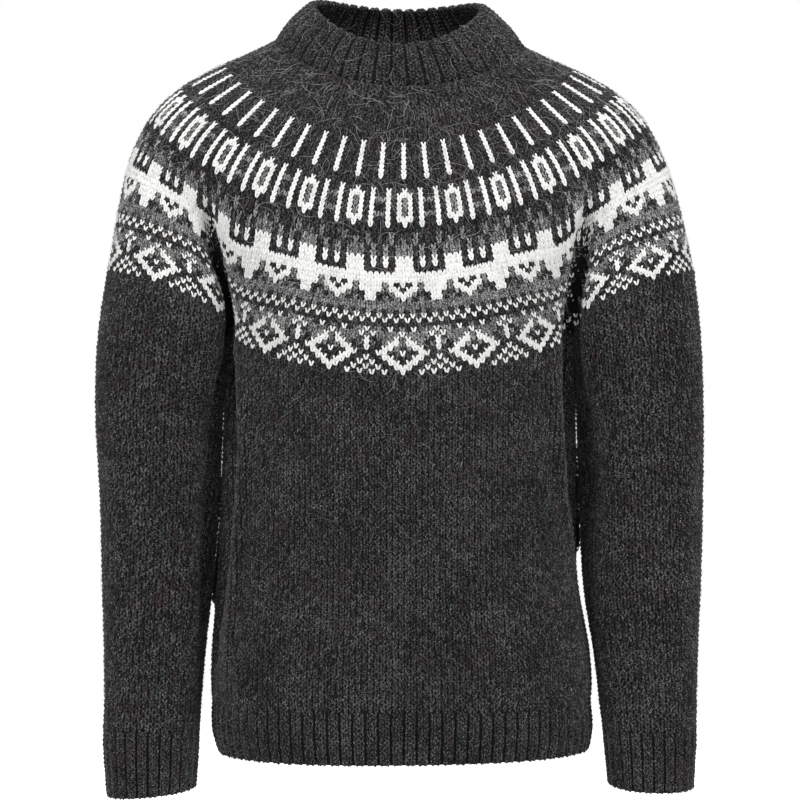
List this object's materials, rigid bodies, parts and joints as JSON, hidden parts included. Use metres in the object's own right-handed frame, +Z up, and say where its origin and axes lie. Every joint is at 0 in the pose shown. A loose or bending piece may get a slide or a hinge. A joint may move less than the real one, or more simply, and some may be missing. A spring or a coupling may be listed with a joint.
{
  "type": "round-yoke wool sweater",
  "caption": "Long-sleeved knitted wool pullover with a folded ribbed neck and a round patterned yoke, standing open and filled out as if it were worn.",
  "frame": {"origin": "middle of the neck opening at its base, level with the wearer's shoulders, which carry the garment", "axes": "+Z up, -Y towards the front of the garment, +X towards the sleeve at the right of the picture"},
  "size_m": [0.5731, 0.2658, 0.7546],
  "materials": {
    "patterned_wool": "brushed wool in charcoal, grey and natural white",
    "charcoal_wool": "brushed charcoal heather wool",
    "ribbed_wool": "ribbed charcoal heather wool"
  },
  "bodies": {
    "root": {"yoke": "patterned_wool", "body": "charcoal_wool", "sleeve_left": "charcoal_wool", "sleeve_right": "charcoal_wool", "collar": "ribbed_wool", "hem_rib": "ribbed_wool", "cuff_left": "ribbed_wool", "cuff_right": "ribbed_wool"}
  },
  "joints": []
}
